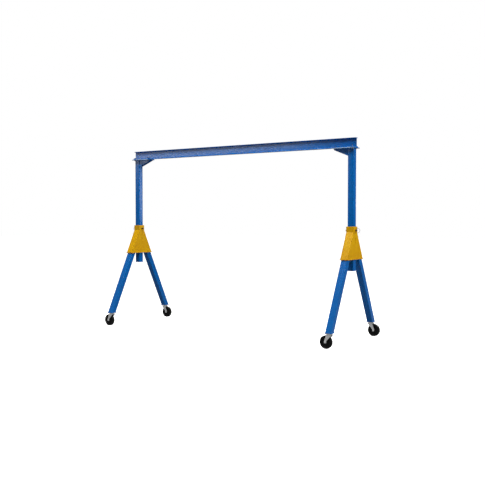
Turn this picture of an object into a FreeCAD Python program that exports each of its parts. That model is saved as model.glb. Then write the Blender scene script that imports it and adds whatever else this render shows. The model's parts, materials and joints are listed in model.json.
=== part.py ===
import FreeCAD, Part
import Sketcher
import math
import os

# Portable gantry crane with height-adjustable ends, in millimetres.
# +X runs along the beam, +Y runs across the crane, +Z is up and the floor is z = 0.

SHEET = [
    # beam and the height it stands at
    ("beam_length", 4600.0, "length of the I-beam"),
    ("beam_overhang", 79.0, "beam past the axis of each upright"),
    ("beam_depth", 152.4, "depth of the I-beam"),
    ("beam_flange", 84.6, "width of the I-beam flanges"),
    ("beam_flange_edge", 5.8, "thickness of a flange at its edge"),
    ("beam_flange_root", 12.4, "thickness of a flange at the web"),
    ("beam_web", 5.9, "thickness of the web"),
    ("beam_root_radius", 8.0, "fillet between web and flange"),
    ("beam_edge_radius", 3.0, "rounding of the flange edges"),
    ("beam_height", 3075.6, "floor to the underside of the beam"),
    # uprights and legs
    ("tube_size", 101.6, "outside of the square tube of uprights and legs"),
    ("tube_corner", 10.0, "outside corner radius of the square tube"),
    ("upright_wall", 6.35, "wall of the uprights"),
    ("upright_length", 1932.4, "length of an upright"),
    ("leg_wall", 4.7625, "wall of the legs"),
    ("leg_cross", 5.261825, "how far a leg's middle line is past the centre plane at the collar"),
    ("foot_reach", 757.0, "centre of the crane to a caster's swivel axis, across"),
    # saddle on top of each upright
    ("saddle_thick", 12.7, "thickness of the saddle plate"),
    ("saddle_width", 203.2, "saddle plate across the beam"),
    ("saddle_inward", 302.0, "saddle plate from the upright's axis inwards"),
    ("saddle_outward", 84.0, "saddle plate from the upright's axis outwards"),
    ("gusset_thick", 9.525, "thickness of a saddle gusset"),
    ("gusset_length", 242.0, "gusset along the beam"),
    ("gusset_depth", 118.9, "gusset down the upright"),
    ("gusset_nose", 20.0, "height of the gusset's inner end"),
    ("gusset_centre", 36.0, "middle of a gusset from the beam's centre plane"),
    # clips and bolts that hold the beam on the saddles
    ("clip_length", 44.45, "clip along the beam"),
    ("clip_height", 22.0, "height of a clip"),
    ("clip_reach", 88.0, "outer end of a clip from the beam's centre plane"),
    ("clip_toe", 30.0, "inner end of a clip from the beam's centre plane"),
    ("clip_gap", 0.5, "clip heel to flange edge"),
    ("clip_bolt_side", 14.2, "axis of a clip bolt from the side of the upright"),
    ("clip_bolt_inward", 277.0, "inner clip bolts from the upright's axis"),
    ("clip_bolt_outward", 37.0, "outer clip bolts from the upright's axis"),
    ("clip_bolt_size", 12.7, "diameter of the clip bolts"),
    ("clip_bolt_flats", 19.05, "across flats of the clip bolts and nuts"),
    ("clip_bolt_head", 8.3, "height of the clip bolt heads"),
    ("clip_nut_height", 11.0, "height of the clip nuts"),
    ("clip_bolt_tail", 4.0, "clip bolt beyond its nut"),
    ("washer_size", 27.0, "outside of a clip washer"),
    ("washer_thick", 2.4, "thickness of a clip washer"),
    ("washer_gap", 0.02, "washer to its bolt head"),
    ("bolt_clearance", 0.4, "bolt hole over the bolt, each side"),
    ("thread_clearance", 0.1, "nut over its bolt, each side"),
    # welded head that joins two legs and guides the upright
    ("slide_clearance", 1.5875, "receiver over the upright, each side"),
    ("receiver_wall", 4.7625, "wall of the receiver tube"),
    ("face_plate_thick", 6.35, "thickness of the head's face plates"),
    ("slope_plate_thick", 9.525, "thickness of the head's sloping plates"),
    ("head_bottom", 1322.0, "floor to the top of the head's base plate"),
    ("base_plate_thick", 9.525, "thickness of the head's base plate"),
    ("base_plate_lip", 10.0, "base plate past the head all round"),
    ("base_plate_corner", 6.0, "corner radius of the base plate"),
    ("leg_slot_clearance", 0.5, "base plate opening over a leg"),
    ("collar_bottom", 1750.0, "floor to the bottom of the collar"),
    ("collar_height", 80.0, "height of the collar"),
    ("collar_thick", 9.525, "thickness of the collar"),
    ("collar_corner", 3.0, "outside corner radius of the collar"),
    ("weld_slot_length", 85.0, "length of the plug-weld slot in a face plate"),
    ("weld_slot_width", 15.0, "width of the plug-weld slot"),
    ("weld_slot_height", 1610.0, "floor to the middle of the plug-weld slot"),
    # lock pin and its ring
    ("pin_height", 1770.0, "floor to the lock pin's axis"),
    ("pin_size", 25.4, "diameter of the lock pin"),
    ("pin_clearance", 0.8, "pin hole over the pin, each side"),
    ("pin_pitch", 63.5, "spacing of the pin holes in an upright"),
    ("pin_inner_reach", 37.325, "lock pin past the collar inwards"),
    ("pin_outer_reach", 23.325, "lock pin past the collar outwards"),
    ("pin_point", 5.0, "chamfer on the pin's inner end"),
    ("pin_edge", 1.5, "chamfer on the pin's outer end"),
    ("ring_hole_reach", 5.025, "ring hole past the collar"),
    ("ring_hole_size", 9.5, "diameter of the ring hole"),
    ("ring_wire", 5.0, "thickness of the ring's wire"),
    ("ring_radius", 34.5, "middle radius of the ring"),
    ("ring_offset", 33.3, "ring's centre beyond the ring hole"),
    # foot plates and casters
    ("wheel_top_gap", 27.45, "top of a wheel to the underside of the caster's plate"),
    ("foot_plate_thick", 9.525, "thickness of a foot plate"),
    ("foot_plate_x", 114.3, "foot plate along the beam"),
    ("foot_plate_y", 127.0, "foot plate across the crane"),
    ("foot_plate_hole", 34.0, "hole in the foot plate for the kingpin's head"),
    ("caster_plate_thick", 6.35, "thickness of a caster's plate"),
    ("caster_plate_x", 101.6, "caster plate along the beam"),
    ("caster_plate_y", 114.3, "caster plate across the crane"),
    ("caster_plate_corner", 8.0, "corner radius of foot and caster plates"),
    ("caster_bolt_x", 66.7, "caster bolt spacing along the beam"),
    ("caster_bolt_y", 92.1, "caster bolt spacing across the crane"),
    ("caster_bolt_size", 9.525, "diameter of the caster bolts"),
    ("caster_bolt_flats", 14.3, "across flats of the caster bolts"),
    ("caster_bolt_head", 6.2, "height of the caster bolt heads"),
    ("race_size", 74.0, "outside of the swivel race"),
    ("race_bore", 44.0, "inside of the swivel race"),
    ("race_height", 9.6, "height of the swivel race"),
    ("race_gap", 0.35, "swivel race to the yoke"),
    ("kingpin_size", 15.875, "diameter of the kingpin"),
    ("kingpin_head", 28.0, "diameter of the kingpin's head"),
    ("kingpin_head_height", 6.0, "height of the kingpin's head"),
    ("kingpin_flats", 23.8, "across flats of the kingpin's nut"),
    ("kingpin_nut_height", 9.0, "height of the kingpin's nut"),
    ("kingpin_nut_gap", 0.35, "kingpin's nut to the yoke"),
    ("kingpin_tail", 1.5, "kingpin beyond its nut"),
    ("swivel_clearance", 0.06, "yoke over the kingpin, each side"),
    ("trail", 55.6, "swivel axis to wheel axis"),
    ("yoke_thick", 6.35, "thickness of the yoke"),
    ("yoke_gap", 1.6, "wheel hub to yoke, each side"),
    ("yoke_crown", 40.0, "half length of the yoke's crown"),
    ("yoke_shoulder", 16.0, "height of the yoke's crown edge"),
    ("yoke_end", 18.0, "half width of the yoke's lower ends"),
    ("yoke_end_radius", 16.0, "rounding of the yoke's lower ends"),
    ("yoke_bend", 5.0, "bend radius along the yoke's crown"),
    ("wheel_radius", 101.6, "radius of a wheel"),
    ("wheel_width", 50.8, "width of the tread"),
    ("wheel_edge", 5.0, "rounding of the tread's edges"),
    ("rim_radius", 80.0, "inside radius of the rim"),
    ("rim_taper", 3.0, "rise of the rim's inside towards the web"),
    ("web_thick", 20.0, "thickness of the wheel's web"),
    ("hub_radius", 29.0, "radius of the hub"),
    ("hub_length", 57.15, "length of the hub"),
    ("bearing_size", 33.3, "outside of the wheel's bearing sleeve"),
    ("axle_size", 12.7, "diameter of the axle bolt"),
    ("axle_clearance", 0.06, "bearing sleeve over the axle, each side"),
    ("axle_flats", 19.05, "across flats of the axle bolt and nut"),
    ("axle_head", 8.0, "height of the axle bolt's head"),
    ("axle_nut_height", 11.0, "height of the axle nut"),
    ("axle_tail", 4.0, "axle bolt beyond its nut"),
]

PIN_HOLES = 7


class Size:
    """A length that carries its spreadsheet formula and its value, so that one sum gives both."""

    def __init__(self, text, value):
        self.text = text
        self.value = value

    def __add__(self, other):
        other = as_size(other)
        return Size(f"({self.text} + {other.text})", self.value + other.value)

    def __radd__(self, other):
        return as_size(other) + self

    def __sub__(self, other):
        other = as_size(other)
        return Size(f"({self.text} - {other.text})", self.value - other.value)

    def __rsub__(self, other):
        return as_size(other) - self

    def __mul__(self, other):
        other = as_size(other)
        return Size(f"({self.text} * {other.text})", self.value * other.value)

    def __rmul__(self, other):
        return as_size(other) * self

    def __truediv__(self, other):
        other = as_size(other)
        return Size(f"({self.text} / {other.text})", self.value / other.value)

    def __neg__(self):
        return Size(f"(0 - {self.text})", -self.value)


def as_size(number):
    if isinstance(number, Size):
        return number
    return Size(repr(float(number)), float(number))


def root(size):
    return Size(f"sqrt({size.text})", math.sqrt(size.value))


doc = FreeCAD.newDocument("gantry_crane")
sheet = doc.addObject("Spreadsheet::Sheet", "Sizes")
sheet.Label = "Sizes"


class Named:
    """The driving dimensions, by name."""


d = Named()
for row, (alias, number, note) in enumerate(SHEET, start=1):
    sheet.set(f"A{row}", alias)
    sheet.set(f"B{row}", str(number))
    sheet.set(f"C{row}", note)
    sheet.setAlias(f"B{row}", alias)
    setattr(d, alias, Size(f"Sizes.{alias}", number))
doc.recompute()

ZERO = as_size(0)


# ---- sketches and features ------------------------------------------------------------------


def bind(item, path, size):
    """Drive one property from the sheet."""
    item.setExpression(path, as_size(size).text)


def new_body(name):
    body = doc.addObject("PartDesign::Body", name)
    body.Label = name
    body.AllowCompound = True
    return body


def new_sketch(body, name, role, offset=ZERO):
    """A sketch on one of the body's own planes, moved along the plane's normal by an offset."""
    sketch = body.newObject("Sketcher::SketchObject", name)
    plane = [item for item in body.Origin.OriginFeatures if item.Role == role][0]
    sketch.AttachmentSupport = [(plane, "")]
    sketch.MapMode = "FlatFace"
    bind(sketch, "AttachmentOffset.Base.z", offset)
    return sketch


def hold_point(sketch, geometry, point, x, y):
    """Fix a point of the sketch at x, y from the origin, driven by the sheet."""
    for kind, size in (("DistanceX", x), ("DistanceY", y)):
        index = sketch.addConstraint(
            Sketcher.Constraint(kind, -1, 1, geometry, point, size.value)
        )
        bind(sketch, f"Constraints[{index}]", size)


def add_polygon(sketch, corners):
    corners = [(as_size(x), as_size(y)) for x, y in corners]
    first = sketch.GeometryCount
    count = len(corners)
    for i in range(count):
        x, y = corners[i]
        next_x, next_y = corners[(i + 1) % count]
        start = FreeCAD.Vector(x.value, y.value, 0)
        end = FreeCAD.Vector(next_x.value, next_y.value, 0)
        sketch.addGeometry(Part.LineSegment(start, end), False)
    for i in range(count):
        following = first + (i + 1) % count
        sketch.addConstraint(Sketcher.Constraint("Coincident", first + i, 2, following, 1))
    for i, (x, y) in enumerate(corners):
        hold_point(sketch, first + i, 1, x, y)


def add_rectangle(sketch, x, y, length, width):
    """A rectangle centred on x, y."""
    half_x = as_size(length) / 2
    half_y = as_size(width) / 2
    x = as_size(x)
    y = as_size(y)
    add_polygon(
        sketch,
        [
            (x - half_x, y - half_y),
            (x + half_x, y - half_y),
            (x + half_x, y + half_y),
            (x - half_x, y + half_y),
        ],
    )


def add_circle(sketch, x, y, diameter):
    x = as_size(x)
    y = as_size(y)
    diameter = as_size(diameter)
    centre = FreeCAD.Vector(x.value, y.value, 0)
    circle = Part.Circle(centre, FreeCAD.Vector(0, 0, 1), diameter.value / 2)
    index = sketch.addGeometry(circle, False)
    hold_point(sketch, index, 3, x, y)
    measure = sketch.addConstraint(
        Sketcher.Constraint("Diameter", index, diameter.value)
    )
    bind(sketch, f"Constraints[{measure}]", diameter)


def add_hexagon(sketch, x, y, flats):
    """A hexagon with two corners along the sketch's x direction."""
    corner = as_size(flats) / math.sqrt(3)
    half_flats = as_size(flats) / 2
    x = as_size(x)
    y = as_size(y)
    add_polygon(
        sketch,
        [
            (x + corner, y),
            (x + corner / 2, y + half_flats),
            (x - corner / 2, y + half_flats),
            (x - corner, y),
            (x - corner / 2, y - half_flats),
            (x + corner / 2, y - half_flats),
        ],
    )


def finish(body, feature):
    body.Tip = feature
    doc.recompute()
    if not feature.Shape.isValid() or feature.Shape.isNull():
        raise ValueError(f"{body.Label}: {feature.Name} has no valid shape")
    return feature


def pad(body, sketch, length, symmetric=False, backwards=False):
    feature = body.newObject("PartDesign::Pad", f"{sketch.Name}_pad")
    feature.Profile = sketch
    feature.SideType = "Symmetric" if symmetric else "One side"
    feature.Reversed = backwards
    bind(feature, "Length", length)
    sketch.Visibility = False
    return finish(body, feature)


def pocket(body, sketch, length, symmetric=False, backwards=False):
    """Cut the sketch out of the body, and stop if that removes nothing."""
    before = body.Shape.Volume
    feature = body.newObject("PartDesign::Pocket", f"{sketch.Name}_pocket")
    feature.Profile = sketch
    feature.SideType = "Symmetric" if symmetric else "One side"
    feature.Reversed = backwards
    bind(feature, "Length", length)
    sketch.Visibility = False
    finish(body, feature)
    if body.Shape.Volume > before - 1:
        raise ValueError(f"{body.Label}: {feature.Name} cuts nothing")
    return feature


def round_edges(body, name, radius, wanted, kind="PartDesign::Fillet"):
    """Fillet or chamfer every edge of the tip for which wanted(edge) is true."""
    base = body.Tip
    edges = [f"Edge{i}" for i, edge in enumerate(base.Shape.Edges, start=1) if wanted(edge)]
    if not edges:
        raise ValueError(f"{body.Label}: no edges to round for {name}")
    feature = body.newObject(kind, name)
    feature.Base = (base, edges)
    bind(feature, "Radius" if kind == "PartDesign::Fillet" else "Size", radius)
    return finish(body, feature)


def runs_along(edge, direction):
    """Whether a straight edge is parallel to a direction."""
    if len(edge.Vertexes) != 2:
        return False
    run = edge.Vertexes[1].Point - edge.Vertexes[0].Point
    chord = run.Length
    if chord < 1e-6 or abs(chord - edge.Length) > 1e-6 * chord:
        return False
    return run.cross(direction).Length < 1e-4 * chord * direction.Length


def is_circle(edge, radius, axis_value=None, axis="x"):
    """Whether an edge is a full circle of this radius, at this place along an axis."""
    if not isinstance(edge.Curve, Part.Circle) or abs(edge.Curve.Radius - radius) > 1e-3:
        return False
    if axis_value is None:
        return True
    return abs(getattr(edge.Curve.Center, axis) - axis_value) < 1e-3


X_WAY = FreeCAD.Vector(1, 0, 0)
Y_WAY = FreeCAD.Vector(0, 1, 0)
Z_WAY = FreeCAD.Vector(0, 0, 1)


# ---- sizes that several pieces share ---------------------------------------------------------

span = d.beam_length - 2 * d.beam_overhang
upright_top = d.beam_height - d.saddle_thick
upright_bottom = upright_top - d.upright_length
receiver_bore = d.tube_size + 2 * d.slide_clearance
receiver_size = receiver_bore + 2 * d.receiver_wall
receiver_corner = d.tube_corner
head_thick = receiver_size + 2 * d.face_plate_thick
collar_size = receiver_size + 2 * d.collar_thick
collar_top = d.collar_bottom + d.collar_height
pin_hole = d.pin_size + 2 * d.pin_clearance
pin_inner_end = collar_size / 2 + d.pin_inner_reach
pin_outer_end = collar_size / 2 + d.pin_outer_reach
ring_hole_x = collar_size / 2 + d.ring_hole_reach
clip_bolt_y = d.tube_size / 2 + d.clip_bolt_side
caster_height = 2 * d.wheel_radius + d.wheel_top_gap + d.caster_plate_thick
leg_foot = caster_height + d.foot_plate_thick
leg_lean = (d.foot_reach + d.leg_cross) / (d.collar_bottom - leg_foot)
stretch = root(1 + leg_lean * leg_lean)
leg_half = d.tube_size / 2 * stretch
leg_half_inside = (d.tube_size / 2 - d.leg_wall) * stretch
head_half = leg_half + d.slope_plate_thick * stretch
lean_way = FreeCAD.Vector(0, -leg_lean.value, 1)


def leg_line(height, offset):
    """Distance from the centre plane to a line along the leg, at a height, offset outwards."""
    return d.foot_reach - leg_lean * (height - leg_foot) + offset


def height_on_leg(reach, offset):
    """Height at which that line is this far from the centre plane."""
    return leg_foot + (d.foot_reach + offset - reach) / leg_lean


# ---- where the copies of a piece stand -------------------------------------------------------

ENDS = {"left": -1, "right": 1}
CORNERS = {"rear": 0, "front": 180}


def stand(body, x, turn=0, y=ZERO):
    """Place a body, turned about the vertical."""
    body.Placement = FreeCAD.Placement(
        FreeCAD.Vector(0, 0, 0), FreeCAD.Rotation(FreeCAD.Vector(0, 0, 1), turn)
    )
    bind(body, "Placement.Base.x", x)
    bind(body, "Placement.Base.y", y)
    doc.recompute()


finished = []


def keep(body):
    finished.append(body)


def at_each_end(name, make):
    """The left-hand copy is the right-hand one turned half a turn, as the crane itself is."""
    for end, way in ENDS.items():
        body = new_body(f"{name}_{end}")
        make(body)
        stand(body, way * span / 2, 0 if way > 0 else 180)
        keep(body)


def at_each_corner(name, make, own_axis):
    """A copy at each corner, drawn about the upright's axis or about its own swivel axis."""
    for end, way in ENDS.items():
        for corner, turn in CORNERS.items():
            body = new_body(f"{name}_{end}_{corner}")
            make(body)
            y = ZERO
            if own_axis:
                y = d.foot_reach if corner == "rear" else -d.foot_reach
            stand(body, way * span / 2, turn, y)
            keep(body)


# ---- beam ------------------------------------------------------------------------------------


def make_beam():
    """Rolled I-beam with tapered flanges."""
    body = new_body("runway_beam")
    section = new_sketch(body, "beam_section", "YZ_Plane")
    side = d.beam_flange / 2
    web = d.beam_web / 2
    low = d.beam_height
    high = d.beam_height + d.beam_depth
    edge = d.beam_flange_edge
    flange = d.beam_flange_root
    add_polygon(
        section,
        [
            (-side, low),
            (side, low),
            (side, low + edge),
            (web, low + flange),
            (web, high - flange),
            (side, high - edge),
            (side, high),
            (-side, high),
            (-side, high - edge),
            (-web, high - flange),
            (-web, low + flange),
            (-side, low + edge),
        ],
    )
    pad(body, section, d.beam_length, symmetric=True)

    def at_root(edge_item):
        y = abs(edge_item.CenterOfMass.y)
        return runs_along(edge_item, X_WAY) and abs(y - web.value) < 0.01

    def at_edge(edge_item):
        z = edge_item.CenterOfMass.z
        outer = abs(z - low.value) < 0.01 or abs(z - high.value) < 0.01
        y = abs(edge_item.CenterOfMass.y)
        return runs_along(edge_item, X_WAY) and not outer and abs(y - side.value) < 0.01

    round_edges(body, "beam_root_fillets", d.beam_root_radius, at_root)
    round_edges(body, "beam_edge_fillets", d.beam_edge_radius, at_edge)
    stand(body, ZERO)
    keep(body)


# ---- upper ends: upright, saddle, gussets, clips and bolts ------------------------------------


def square_tube(body, name, outside, wall, corner, bottom, height):
    """Upright square tube with rounded corners."""
    outline = new_sketch(body, f"{name}_outside", "XY_Plane", bottom)
    add_rectangle(outline, 0, 0, outside, outside)
    pad(body, outline, height)
    round_edges(body, f"{name}_corners", corner, lambda edge: runs_along(edge, Z_WAY))
    inside = new_sketch(body, f"{name}_inside", "XY_Plane", bottom - 1)
    bore = outside - 2 * wall
    add_rectangle(inside, 0, 0, bore, bore)
    pocket(body, inside, height + 2, backwards=True)
    half = bore.value / 2

    def inner_corner(edge):
        centre = edge.CenterOfMass
        on_x = abs(abs(centre.x) - half) < 0.01
        on_y = abs(abs(centre.y) - half) < 0.01
        return runs_along(edge, Z_WAY) and on_x and on_y

    round_edges(body, f"{name}_inner_corners", corner - wall, inner_corner)


def make_upright(body):
    bottom = upright_bottom
    square_tube(
        body, "tube", d.tube_size, d.upright_wall, d.tube_corner, bottom, d.upright_length
    )
    holes = new_sketch(body, "pin_holes", "YZ_Plane")
    for number in range(PIN_HOLES):
        add_circle(holes, 0, d.pin_height - number * d.pin_pitch, pin_hole)
    pocket(body, holes, d.tube_size + 2, symmetric=True)


def clip_bolt_places():
    """Clip bolts of one saddle, from the upright's axis."""
    for x in (d.clip_bolt_outward, -d.clip_bolt_inward):
        for way in (1, -1):
            yield x, way * clip_bolt_y


def make_saddle_plate(body):
    outline = new_sketch(body, "plate_outline", "XY_Plane", upright_top)
    half = d.saddle_width / 2
    add_polygon(
        outline,
        [
            (-d.saddle_inward, -half),
            (d.saddle_outward, -half),
            (d.saddle_outward, half),
            (-d.saddle_inward, half),
        ],
    )
    for x, y in clip_bolt_places():
        add_circle(outline, x, y, d.clip_bolt_size + 2 * d.bolt_clearance)
    pad(body, outline, d.saddle_thick)


def make_gussets(body):
    """A pair of tapered plates between the upright's inner face and the saddle plate."""
    near = -d.tube_size / 2
    far = near - d.gusset_length
    for name, way in (("front", -1), ("rear", 1)):
        middle = way * d.gusset_centre
        outline = new_sketch(body, f"{name}_gusset", "XZ_Plane", -middle)
        add_polygon(
            outline,
            [
                (near, upright_top),
                (near, upright_top - d.gusset_depth),
                (far, upright_top - d.gusset_nose),
                (far, upright_top),
            ],
        )
        pad(body, outline, d.gusset_thick, symmetric=True)


def flange_top(reach):
    """Top of the lower flange's taper at this distance from the centre plane."""
    side = d.beam_flange / 2
    slope = (d.beam_flange_root - d.beam_flange_edge) / (side - d.beam_web / 2)
    return d.beam_height + d.beam_flange_edge + (side - reach) * slope


def make_clips(body):
    """Bevelled clips that stand on the saddle plate and hook over the lower flange."""
    heel = d.beam_flange / 2 + d.clip_gap
    top = d.beam_height + d.clip_height
    for name, x in (("outer", d.clip_bolt_outward), ("inner", -d.clip_bolt_inward)):
        outline = new_sketch(body, f"{name}_clips", "YZ_Plane", x)
        for way in (1, -1):
            add_polygon(
                outline,
                [
                    (way * heel, d.beam_height),
                    (way * d.clip_reach, d.beam_height),
                    (way * d.clip_reach, top),
                    (way * d.clip_toe, top),
                    (way * d.clip_toe, flange_top(d.clip_toe)),
                    (way * heel, flange_top(heel)),
                ],
            )
        pad(body, outline, d.clip_length, symmetric=True)
    holes = new_sketch(body, "clip_holes", "XY_Plane", d.beam_height - 1)
    for x, y in clip_bolt_places():
        add_circle(holes, x, y, d.clip_bolt_size + 2 * d.bolt_clearance)
    pocket(body, holes, d.clip_height + 2, backwards=True)

    def outer_top(edge):
        centre = edge.CenterOfMass
        at_end = abs(abs(centre.y) - d.clip_reach.value) < 0.01
        return runs_along(edge, X_WAY) and at_end and abs(centre.z - top.value) < 0.01

    round_edges(body, "clip_bevels", 3, outer_top, "PartDesign::Chamfer")


def chamfer_heads(body, name, height, flats):
    """Break the corners of hexagon faces at this height."""
    long_side = flats.value / math.sqrt(3)

    def on_face(edge):
        low = edge.BoundBox.ZMin
        high = edge.BoundBox.ZMax
        flat = abs(low - height.value) < 0.01 and abs(high - height.value) < 0.01
        return flat and abs(edge.Length - long_side) < 0.01

    round_edges(body, name, 1, on_face, "PartDesign::Chamfer")


def make_clip_bolts(body):
    """Four bolts with their washers and nuts."""
    seat = d.beam_height + d.clip_height + d.washer_thick
    under = upright_top - d.clip_nut_height
    tail = under - d.clip_bolt_tail
    heads = new_sketch(body, "bolt_heads", "XY_Plane", seat)
    shanks = new_sketch(body, "bolt_shanks", "XY_Plane", seat)
    washers = new_sketch(body, "washers", "XY_Plane", seat - d.washer_thick)
    nuts = new_sketch(body, "nuts", "XY_Plane", under)
    for x, y in clip_bolt_places():
        add_hexagon(heads, x, y, d.clip_bolt_flats)
        add_circle(shanks, x, y, d.clip_bolt_size)
        add_circle(washers, x, y, d.washer_size)
        add_circle(washers, x, y, d.clip_bolt_size + 2 * d.thread_clearance)
        add_hexagon(nuts, x, y, d.clip_bolt_flats)
        add_circle(nuts, x, y, d.clip_bolt_size + 2 * d.thread_clearance)
    pad(body, heads, d.clip_bolt_head)
    pad(body, shanks, seat - tail, backwards=True)
    chamfer_heads(body, "head_corners", seat + d.clip_bolt_head, d.clip_bolt_flats)
    pad(body, nuts, d.clip_nut_height)
    chamfer_heads(body, "nut_corners", under, d.clip_bolt_flats)
    pad(body, washers, d.washer_thick - d.washer_gap)


# ---- head of each A-frame ---------------------------------------------------------------------


def make_receiver(body):
    """Square tube that the upright slides in."""
    height = collar_top - d.head_bottom
    square_tube(
        body, "tube", receiver_size, d.receiver_wall, receiver_corner, d.head_bottom, height
    )
    hole = new_sketch(body, "pin_hole", "YZ_Plane")
    add_circle(hole, 0, d.pin_height, pin_hole)
    pocket(body, hole, receiver_size + 2, symmetric=True)


def make_collar(body):
    """Square band round the top of the receiver."""
    outline = new_sketch(body, "collar_outline", "XY_Plane", d.collar_bottom)
    add_rectangle(outline, 0, 0, collar_size, collar_size)
    pad(body, outline, d.collar_height)
    round_edges(body, "collar_corners", d.collar_corner, lambda edge: runs_along(edge, Z_WAY))
    bore = new_sketch(body, "collar_bore", "XY_Plane", d.collar_bottom - 1)
    add_rectangle(bore, 0, 0, receiver_size, receiver_size)
    pocket(body, bore, d.collar_height + 2, backwards=True)
    hole = new_sketch(body, "pin_hole", "YZ_Plane")
    add_circle(hole, 0, d.pin_height, pin_hole)
    pocket(body, hole, collar_size + 2, symmetric=True)


def make_face_plates(body):
    """Tapered plates over both faces of the head, each with a slot for a plug weld."""
    low = leg_line(d.head_bottom, head_half)
    high = leg_line(d.collar_bottom, head_half)
    middle = (receiver_size + d.face_plate_thick) / 2
    for name, way in (("outer", 1), ("inner", -1)):
        outline = new_sketch(body, f"{name}_face", "YZ_Plane", way * middle)
        add_polygon(
            outline,
            [
                (-low, d.head_bottom),
                (low, d.head_bottom),
                (high, d.collar_bottom),
                (-high, d.collar_bottom),
            ],
        )
        pad(body, outline, d.face_plate_thick, symmetric=True)
    slot = new_sketch(body, "weld_slot", "YZ_Plane")
    straight = d.weld_slot_length - d.weld_slot_width
    add_rectangle(slot, 0, d.weld_slot_height, d.weld_slot_width, straight)
    pocket(body, slot, head_thick + 2, symmetric=True)
    ends = new_sketch(body, "weld_slot_ends", "YZ_Plane")
    add_circle(ends, 0, d.weld_slot_height - straight / 2, d.weld_slot_width)
    add_circle(ends, 0, d.weld_slot_height + straight / 2, d.weld_slot_width)
    pocket(body, ends, head_thick + 2, symmetric=True)


def make_slope_plates(body):
    """Plates that lie along the legs' outer faces and close the head's sides."""
    outline = new_sketch(body, "slope_section", "YZ_Plane")
    tube = receiver_size / 2
    for way in (1, -1):
        add_polygon(
            outline,
            [
                (way * leg_line(d.head_bottom, leg_half), d.head_bottom),
                (way * leg_line(d.head_bottom, head_half), d.head_bottom),
                (way * leg_line(d.collar_bottom, head_half), d.collar_bottom),
                (way * tube, d.collar_bottom),
                (way * tube, height_on_leg(tube, leg_half)),
            ],
        )
    pad(body, outline, receiver_size, symmetric=True)


def make_base_plate(body):
    """Plate under the head, with openings for the upright and for both legs."""
    length = head_thick + 2 * d.base_plate_lip
    width = 2 * (leg_line(d.head_bottom, head_half) + d.base_plate_lip)
    bottom = d.head_bottom - d.base_plate_thick
    outline = new_sketch(body, "plate_outline", "XY_Plane", bottom)
    add_rectangle(outline, 0, 0, length, width)
    pad(body, outline, d.base_plate_thick)
    corner = d.base_plate_corner
    round_edges(body, "plate_corners", corner, lambda edge: runs_along(edge, Z_WAY))
    bore = new_sketch(body, "upright_opening", "XY_Plane", bottom - 1)
    add_rectangle(bore, 0, 0, receiver_bore, receiver_bore)
    pocket(body, bore, d.base_plate_thick + 2, backwards=True)
    legs = new_sketch(body, "leg_openings", "YZ_Plane")
    above = d.head_bottom + 5
    below = bottom - 5
    edge = leg_half + d.leg_slot_clearance * stretch
    for way in (1, -1):
        add_polygon(
            legs,
            [
                (way * leg_line(below, -edge), below),
                (way * leg_line(below, edge), below),
                (way * leg_line(above, edge), above),
                (way * leg_line(above, -edge), above),
            ],
        )
    pocket(body, legs, d.tube_size + 2 * d.leg_slot_clearance, symmetric=True)


def make_lock_pin(body):
    """Round pin through the head and the upright, with a cross hole for its ring."""
    start = new_sketch(body, "pin_section", "YZ_Plane", -pin_inner_end)
    add_circle(start, 0, d.pin_height, d.pin_size)
    pad(body, start, pin_inner_end + pin_outer_end)
    radius = d.pin_size.value / 2
    inner = -pin_inner_end.value
    outer = pin_outer_end.value
    chamfer = "PartDesign::Chamfer"
    round_edges(body, "point", d.pin_point, lambda e: is_circle(e, radius, inner), chamfer)
    round_edges(body, "edge", d.pin_edge, lambda e: is_circle(e, radius, outer), chamfer)
    hole = new_sketch(body, "ring_hole", "XY_Plane", d.pin_height)
    add_circle(hole, ring_hole_x, 0, d.ring_hole_size)
    pocket(body, hole, 2 * d.pin_size, symmetric=True)


def make_pin_ring(name, end, way):
    """Wire ring through the pin's cross hole."""
    ring = doc.addObject("Part::Torus", f"{name}_{end}")
    ring.Label = f"{name}_{end}"
    bind(ring, "Radius1", d.ring_radius)
    bind(ring, "Radius2", d.ring_wire / 2)
    ring.Placement = FreeCAD.Placement(
        FreeCAD.Vector(0, 0, 0), FreeCAD.Rotation(FreeCAD.Vector(1, 0, 0), 90)
    )
    bind(ring, "Placement.Base.x", way * (span / 2 + ring_hole_x + d.ring_offset))
    bind(ring, "Placement.Base.z", d.pin_height)
    keep(ring)


# ---- legs ---------------------------------------------------------------------------------------


def make_leg(body):
    """Leaning square tube, cut flat at the foot and upright where it meets the receiver."""
    tube = receiver_size / 2
    outline = new_sketch(body, "leg_outside", "YZ_Plane")
    add_polygon(
        outline,
        [
            (leg_line(leg_foot, -leg_half), leg_foot),
            (leg_line(leg_foot, leg_half), leg_foot),
            (tube, height_on_leg(tube, leg_half)),
            (tube, height_on_leg(tube, -leg_half)),
        ],
    )
    pad(body, outline, d.tube_size, symmetric=True)
    round_edges(body, "leg_corners", d.tube_corner, lambda edge: runs_along(edge, lean_way))
    inside = new_sketch(body, "leg_inside", "YZ_Plane")
    below = leg_foot - 20
    behind = tube - 20
    add_polygon(
        inside,
        [
            (leg_line(below, -leg_half_inside), below),
            (leg_line(below, leg_half_inside), below),
            (behind, height_on_leg(behind, leg_half_inside)),
            (behind, height_on_leg(behind, -leg_half_inside)),
        ],
    )
    pocket(body, inside, d.tube_size - 2 * d.leg_wall, symmetric=True)


# ---- feet and casters -----------------------------------------------------------------------------


def caster_bolt_places():
    """Caster bolts of one end, from the upright's axis."""
    for way in (1, -1):
        for x in (1, -1):
            for y in (1, -1):
                yield x * d.caster_bolt_x / 2, way * d.foot_reach + y * d.caster_bolt_y / 2


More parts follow.
